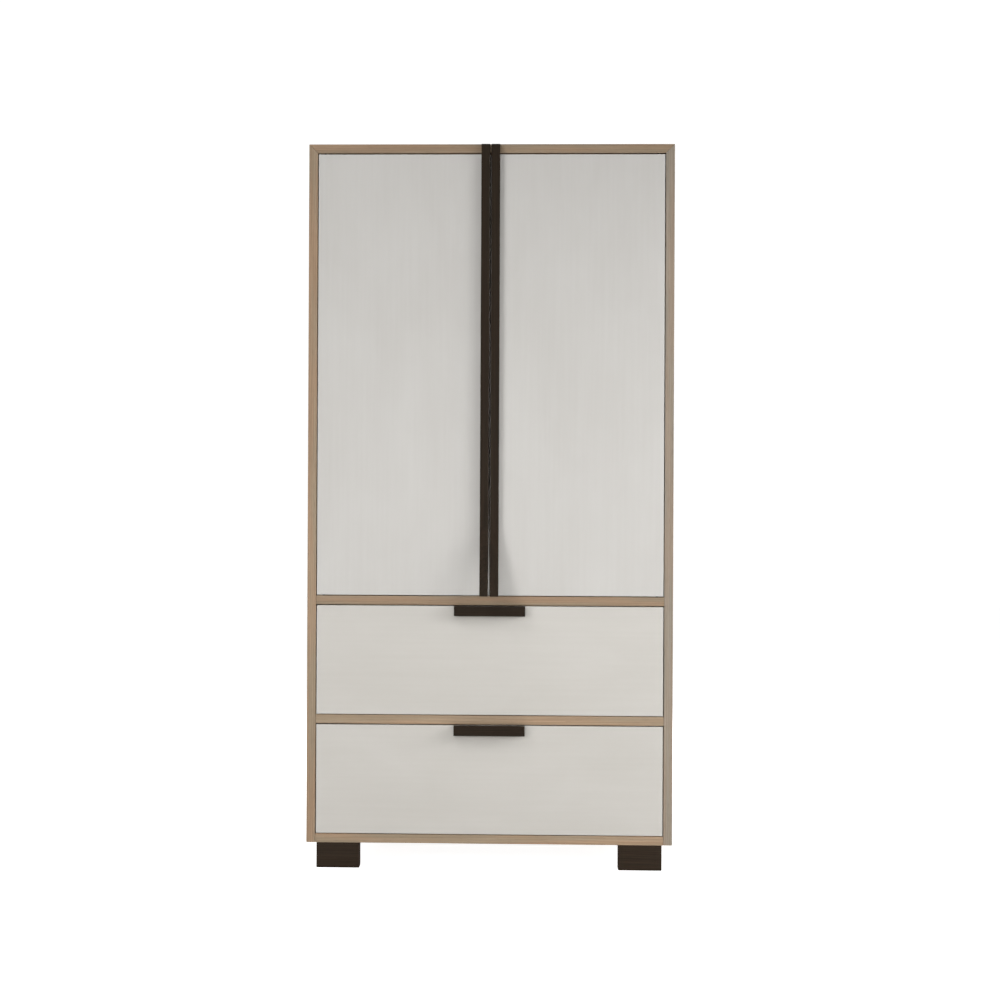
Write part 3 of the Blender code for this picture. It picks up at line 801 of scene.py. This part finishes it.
class ARMOIRE_OT_back(bpy.types.Operator):
    """Build the back panel and the screws that hold it"""
    bl_idname = "armoire.back"
    bl_label = "Back"

    def execute(self, context):
        sizes = context.scene.armoire_sizes
        add_board("back_panel", finish_of("back", "Z", "X"))
        low, high = box_of("back_panel")
        inset = 3 * sizes.screw_radius
        xs = inner_row(low.x, high.x, inset, sizes.back_screw_pitch)
        zs = inner_row(low.z, high.z, inset, sizes.back_screw_pitch)
        dividers = [box_of(node) for node in ("lower_divider", "upper_divider")]
        rows = [zs[0], zs[-1]] + [(board[0].z + board[1].z) / 2 for board in dividers]
        spots = [(x, high.y, z) for x in xs for z in rows]
        spots += [(x, high.y, z) for x in (xs[0], xs[-1]) for z in zs[1:-1]
                  if min(abs(z - row) for row in rows) > sizes.back_screw_pitch / 4]
        add_screws("back_panel_screws", spots, (0, 1, 0), "carcass")
        return {"FINISHED"}


class ARMOIRE_OT_feet(bpy.types.Operator):
    """Build the four dark block feet"""
    bl_idname = "armoire.feet"
    bl_label = "Feet"

    def execute(self, context):
        edge = context.scene.armoire_sizes.foot_edge
        for row in ("front", "rear"):
            for side in SIDES:
                node = f"{row}_{side}_foot"
                # The feet's espresso is brightened, a painted light.
                add_board(node, finish_of("lit_foot_espresso", "X"), edge)
        return {"FINISHED"}


class ARMOIRE_OT_shelf(bpy.types.Operator):
    """Build the hat shelf and the cleats that it rests on"""
    bl_idname = "armoire.shelf"
    bl_label = "Shelf"

    def execute(self, context):
        add_board("hat_shelf", finish_of("oak", "X"))
        for side, sign in SIDES.items():
            node = side + "_shelf_cleat"
            add_board(node, finish_of("oak", "Y", "Z"))
            low, high = box_of(node)
            face = low.x if sign > 0 else high.x
            middle = (low.z + high.z) / 2
            ys = inner_row(low.y, high.y, *CLEAT_SCREWS)
            add_screws(side + "_cleat_screws", [(face, y, middle) for y in ys], (-sign, 0, 0),
                       "carcass")
        return {"FINISHED"}


class ARMOIRE_OT_hanging_rail(bpy.types.Operator):
    """Build the hanging rail, the flanged cups that hold it and their screws"""
    bl_idname = "armoire.hanging_rail"
    bl_label = "Hanging rail"

    def execute(self, context):
        sizes = context.scene.armoire_sizes
        low, high = box_of("hanging_rail")
        radius = (high.z - low.z) / 2
        reach, edge = high.x - low.x, radius / 8
        rings = [(0.0, radius - edge), (edge, radius), (reach - edge, radius),
                 (reach, radius - edge)]
        start = Matrix.Translation((low.x, (low.y + high.y) / 2, (low.z + high.z) / 2))
        bm = bmesh.new()
        stacked_rings(bm, plain_rings(rings), ROUND_SIDES, start @ Matrix.Rotation(pi / 2, 4, "Y"))
        obj = add_piece("hanging_rail_tube", bm, finish_of("polished", "X"), "carcass",
                        ["hanging_rail"])
        obj.data.set_sharp_from_angle(angle=radians(SMOOTH_ANGLE))
        for side, sign in SIDES.items():
            self.add_socket(side, sign, radius + sizes.clearance, sizes)
        return {"FINISHED"}

    def add_socket(self, side, sign, bore, sizes):
        """A cup with a round flange; three screws hold it to the cabinet side."""
        node = side + "_rail_socket"
        low, high = box_of(node)
        depth, rim = high.x - low.x, (high.z - low.z) / 2
        flange, edge = sizes.socket_flange, sizes.socket_edge
        cup = bore + (rim - bore) * SOCKET_CUP
        rings = [(0.0, rim - edge), (edge, rim), (flange - edge, rim), (flange, rim - edge),
                 (flange, cup + 2 * edge), (flange + edge, cup + edge * 0.6),
                 (flange + 2 * edge, cup), (depth - edge, cup), (depth, cup - edge),
                 (depth, bore + edge), (depth - edge, bore), (flange * 0.75, bore)]
        wall_x = high.x if sign > 0 else low.x
        centre = Vector((wall_x, (low.y + high.y) / 2, (low.z + high.z) / 2))
        turned = Matrix.Rotation(-sign * pi / 2, 4, "Y")
        bm = bmesh.new()
        stacked_rings(bm, plain_rings(rings), ROUND_SIDES, Matrix.Translation(centre) @ turned)
        obj = add_piece(side + "_socket_cup", bm, finish_of("polished", "X"), "carcass",
                        [node])
        obj.data.set_sharp_from_angle(angle=radians(50))
        reach = (rim + cup) / 2
        turns = [pi / 2 + 2 * pi * step / 3 for step in range(3)]
        spots = [(wall_x - sign * flange, centre.y + reach * cos(t), centre.z + reach * sin(t))
                 for t in turns]
        add_screws(side + "_socket_screws", spots, (-sign, 0, 0), "carcass",
                   radius=(rim - cup) * SOCKET_SCREW)


# ---- Doors -----------------------------------------------------------------------------------

def pull_outline(low, high, back_y, sizes):
    """Side view (y, z) of a door pull: straight up the door, bent away over its lower stretch."""
    thickness, kick = sizes.pull_thickness, sizes.pull_kick
    reach = back_y - low.y
    full_turn = acos(thickness / hypot(reach, kick)) - atan2(kick, reach)
    outer = sizes.pull_bend_radius + thickness
    arc_top = low.z + kick + outer * tan(full_turn / 2)
    centre_y = back_y - outer
    turns = [full_turn * step / sizes.pull_bend_steps
             for step in range(sizes.pull_bend_steps + 1)]

    def line(radius, top_y):
        bend = [(centre_y + radius * cos(t), arc_top - radius * sin(t)) for t in turns]
        end_y, end_z = bend[-1]
        return [(top_y, high.z)] + bend + [(end_y - (end_z - low.z) * tan(full_turn), low.z)]

    back = line(outer, back_y)
    front = line(sizes.pull_bend_radius, back_y - thickness)
    return back + front[::-1]


class ARMOIRE_OT_doors(bpy.types.Operator):
    """Build the two flush doors and finish their pivots"""
    bl_idname = "armoire.doors"
    bl_label = "Doors"

    def execute(self, context):
        for side in SIDES:
            add_board(side + "_door", finish_of("door_paint", "Z"))
            for end in ("top", "bottom"):
                dress_node(f"{side}_door_{end}_pin", "oiled")
                dress_node(f"{side}_door_{end}_bush", "brass")
        return {"FINISHED"}


class ARMOIRE_OT_door_pulls(bpy.types.Operator):
    """Build the two long pulls that bend away from the doors, and the screws behind them"""
    bl_idname = "armoire.door_pulls"
    bl_label = "Door pulls"

    def execute(self, context):
        sizes = context.scene.armoire_sizes
        for side in SIDES:
            node = side + "_door_pull"
            low, high = box_of(node)
            door_low, door_high = box_of(side + "_door")
            back_y = door_low.y - sizes.clearance
            bm = bmesh.new()
            extruded(bm, pull_outline(low, high, back_y, sizes), 0, low.x, high.x)
            obj = add_piece(side + "_long_pull", bm, finish_of("espresso", "Z", "X"),
                            body_of(node), [node])
            ease_edges(obj, sizes.pull_edge, sizes.edge_segments)
            zs = inner_row(low.z + sizes.pull_kick, door_high.z, PULL_SCREW_MARGIN,
                           sizes.pull_screw_pitch)
            spots = [((low.x + high.x) / 2, door_high.y, z) for z in zs]
            add_screws(side + "_pull_screws", spots, (0, 1, 0), side + "_door")
        return {"FINISHED"}


class ARMOIRE_OT_catches(bpy.types.Operator):
    """Build the door stop, the magnetic catches and their strike plates"""
    bl_idname = "armoire.catches"
    bl_label = "Catches"

    def execute(self, context):
        add_board("door_stop_strip", finish_of("oak", "X"))
        low, high = box_of("door_stop_strip")
        spots = [(x, (low.y + high.y) / 2, low.z)
                 for x in inner_row(low.x, high.x, *STOP_SCREWS)]
        add_screws("stop_strip_screws", spots, (0, 0, -1), "carcass")
        for side in SIDES:
            add_board(side + "_door_catch", finish_of("catch"), CATCH_EDGE)
            self.add_poles(side)
            add_board(side + "_strike_plate", finish_of("zinc"), STRIKE_EDGE)
            low, high = box_of(side + "_strike_plate")
            spot = ((low.x + high.x) / 2, high.y, (low.z + high.z) / 2)
            add_screws(side + "_strike_screw", [spot], (0, 1, 0), side + "_door",
                       height=STRIKE_SCREW_HEIGHT)
        return {"FINISHED"}

    def add_poles(self, side):
        """Two steel pole pieces set in the front of a catch's body."""
        low, high = box_of(side + "_door_catch")
        inset, depth, thickness, proud = 0.006, 0.004, 0.0014, 0.0003
        bm = bmesh.new()
        for share in POLE_PLACES:
            z = low.z + (high.z - low.z) * share
            cuboid(bm, (low.x + inset, low.y - proud, z),
                   (high.x - inset, low.y + depth, z + thickness))
        obj = add_piece(side + "_catch_poles", bm, finish_of("zinc"), "carcass")
        ease_edges(obj, thickness / 6, 2)


# ---- Drawers ---------------------------------------------------------------------------------

class ARMOIRE_OT_drawer_fronts(bpy.types.Operator):
    """Build the two flush drawer fronts"""
    bl_idname = "armoire.drawer_fronts"
    bl_label = "Drawer fronts"

    def execute(self, context):
        for level in LEVELS:
            add_board(level + "_drawer_front", finish_of("drawer_paint", "X"))
        return {"FINISHED"}


class ARMOIRE_OT_drawer_pulls(bpy.types.Operator):
    """Build the two short dark bar pulls on the drawers, and the screws behind them"""
    bl_idname = "armoire.drawer_pulls"
    bl_label = "Drawer pulls"

    def execute(self, context):
        edge = context.scene.armoire_sizes.pull_edge
        for level in LEVELS:
            node = level + "_drawer_pull"
            add_board(node, finish_of("espresso", "X", "Z"), edge)
            low, high = box_of(node)
            back_y = box_of(level + "_drawer_front")[1].y
            quarter = (high.x - low.x) / 4
            middle = (low.z + high.z) / 2
            spots = [(x, back_y, middle) for x in (low.x + quarter, high.x - quarter)]
            add_screws(level + "_pull_screws", spots, (0, 1, 0), level + "_drawer")
        return {"FINISHED"}


class ARMOIRE_OT_drawer_boxes(bpy.types.Operator):
    """Build the drawer boxes: sides and backs with rounded top edges, and the bottoms"""
    bl_idname = "armoire.drawer_boxes"
    bl_label = "Drawer boxes"

    def execute(self, context):
        sizes = context.scene.armoire_sizes
        grains = {"left_side": "Y", "right_side": "Y", "back": "X"}
        for level in LEVELS:
            for part, grain in grains.items():
                self.add_wall(f"{level}_drawer_{part}", grain, sizes)
            add_board(level + "_drawer_bottom", finish_of("birch", "X"))
        return {"FINISHED"}

    def add_wall(self, node, grain, sizes):
        """An upright board whose two long top arrises are well rounded."""
        low, high = box_of(node)
        bm = bmesh.new()
        cuboid(bm, low, high)
        weight = bm.edges.layers.float.new("bevel_weight_edge")
        run = GRAIN_AXIS[grain]
        for edge in bm.edges:
            first, second = (vert.co for vert in edge.verts)
            along = abs(first[run] - second[run]) > (high[run] - low[run]) / 2
            on_top = min(first.z, second.z) > high.z - sizes.board_edge
            edge[weight] = 1.0 if along and on_top else sizes.board_edge / sizes.drawer_top_edge
        obj = add_piece(node + "_board", bm, finish_of("birch", grain, "Z"), body_of(node),
                        [node])
        ease_edges(obj, sizes.drawer_top_edge, sizes.edge_segments + 2, weighted=True)


# Where each member of a runner starts and ends across its width, and its share of the height.
RUNNER_SECTIONS = {
    "cabinet": (0.0, 0.86, 1.0),
    "middle": (0.34, 0.80, 0.68),
    "drawer": (1.0, 0.52, 0.42),
}
CABINET_LIP = 0.10        # share of the half height
BALL_TRACKS = (("middle", "cabinet", 0.57), ("drawer", "middle", 0.66))
BALLS_IN_A_ROW = 10
BALLS_START = 0.04        # share of the runner's length


def channel(back, front, half, gauge, lip):
    """A steel channel's section (x, z): a web at back and two flanges that reach to front."""
    inward = gauge if front > back else -gauge
    upper = [(back, half), (front, half)]
    if lip:
        upper += [(front, half - gauge - lip), (front - inward, half - gauge - lip),
                  (front - inward, half - gauge)]
    else:
        upper += [(front, half - gauge)]
    upper += [(back + inward, half - gauge)]
    return upper + [(x, -z) for x, z in reversed(upper)]


class ARMOIRE_OT_runners(bpy.types.Operator):
    """Build the telescopic drawer runners as nested steel channels with balls between them"""
    bl_idname = "armoire.runners"
    bl_label = "Drawer runners"

    def execute(self, context):
        for level in LEVELS:
            for side, sign in SIDES.items():
                self.add_runner(f"{level}_{side}", sign, context.scene.armoire_sizes)
        return {"FINISHED"}

    def add_runner(self, name, sign, sizes):
        """Three channels that nest between the cabinet side and the drawer side."""
        low, high = box_of(name + "_cabinet_runner")
        drawer_low, drawer_high = box_of(name + "_drawer_runner")
        wall = high.x if sign > 0 else low.x
        width = abs(wall - (drawer_low.x if sign > 0 else drawer_high.x))
        middle_z, half = (low.z + high.z) / 2, (high.z - low.z) / 2
        gauge = sizes.steel_gauge
        for member, (back, front, share) in RUNNER_SECTIONS.items():
            lip = half * CABINET_LIP if member == "cabinet" else 0.0
            outline = channel(width * back, width * front, half * share, gauge, lip)
            node = f"{name}_{member}_runner"
            start, end = (corner.y for corner in box_of(node))
            bm = bmesh.new()
            extruded(bm, [(wall - sign * x, middle_z + z) for x, z in outline], 1, start, end)
            obj = add_piece(f"{name}_{member}_channel", bm, finish_of("zinc"), body_of(node),
                            [node])
            obj.data.set_sharp_from_angle(angle=radians(SMOOTH_ANGLE))
        tracks = []
        for inner, outer, across in BALL_TRACKS:
            share = (RUNNER_SECTIONS[inner][2] + RUNNER_SECTIONS[outer][2]) / 2
            tracks.append((wall - sign * width * across, half * share))
        self.add_balls(name, tracks, (low.y, high.y), middle_z, sizes)
        ys = inner_row(low.y, high.y, *RUNNER_SCREWS)
        web = wall - sign * (width - gauge)
        add_screws(name + "_drawer_runner_screws", [(web, y, middle_z) for y in ys],
                   (sign, 0, 0), name.split("_")[0] + "_drawer")

    def add_balls(self, name, tracks, reach, middle_z, sizes):
        """Steel balls along the tops and bottoms of the middle and the drawer channels."""
        bm = bmesh.new()
        start = reach[0] + (reach[1] - reach[0]) * BALLS_START
        for x, offset in tracks:
            for z in (middle_z - offset, middle_z + offset - sizes.steel_gauge / 2):
                for step in range(BALLS_IN_A_ROW):
                    spot = Matrix.Translation((x, start + step * sizes.ball_pitch, z))
                    bmesh.ops.create_uvsphere(bm, u_segments=12, v_segments=8,
                                              radius=sizes.ball_radius, matrix=spot)
        add_piece(name + "_runner_balls", bm, finish_of("polished", "X"),
                  name.split("_")[0] + "_middle_runners")


# ---- Panel, registration and main ------------------------------------------------------------

OPERATORS = (
    ARMOIRE_OT_stage, ARMOIRE_OT_carcass, ARMOIRE_OT_back, ARMOIRE_OT_feet, ARMOIRE_OT_shelf,
    ARMOIRE_OT_hanging_rail, ARMOIRE_OT_doors, ARMOIRE_OT_door_pulls, ARMOIRE_OT_catches,
    ARMOIRE_OT_drawer_fronts, ARMOIRE_OT_drawer_pulls, ARMOIRE_OT_drawer_boxes,
    ARMOIRE_OT_runners,
)


class ARMOIRE_PT_panel(bpy.types.Panel):
    """Lists the armoire's pieces in the sidebar"""
    bl_idname = "ARMOIRE_PT_panel"
    bl_label = "Armoire"
    bl_space_type = "VIEW_3D"
    bl_region_type = "UI"
    bl_category = "Armoire"

    def draw(self, context):
        for operator in OPERATORS:
            self.layout.operator(operator.bl_idname)
        for group in GROUPS:
            box = self.layout.box()
            settings = getattr(context.scene, group)
            for name in settings.__annotations__:
                box.prop(settings, name)


GROUPS = {"armoire_sizes": ArmoireSizes, "armoire_colours": ArmoireColours,
          "armoire_stage": ArmoireStage}
CLASSES = (*GROUPS.values(), *OPERATORS, ARMOIRE_PT_panel)


def register():
    for cls in CLASSES:
        bpy.utils.register_class(cls)
    for name, group in GROUPS.items():
        setattr(bpy.types.Scene, name, PointerProperty(type=group))


def unregister():
    for name in GROUPS:
        delattr(bpy.types.Scene, name)
    for cls in reversed(CLASSES):
        bpy.utils.unregister_class(cls)


def main():
    register()
    for operator in OPERATORS:
        family, name = operator.bl_idname.split(".")
        getattr(getattr(bpy.ops, family), name)()


if __name__ == "__main__":
    main()
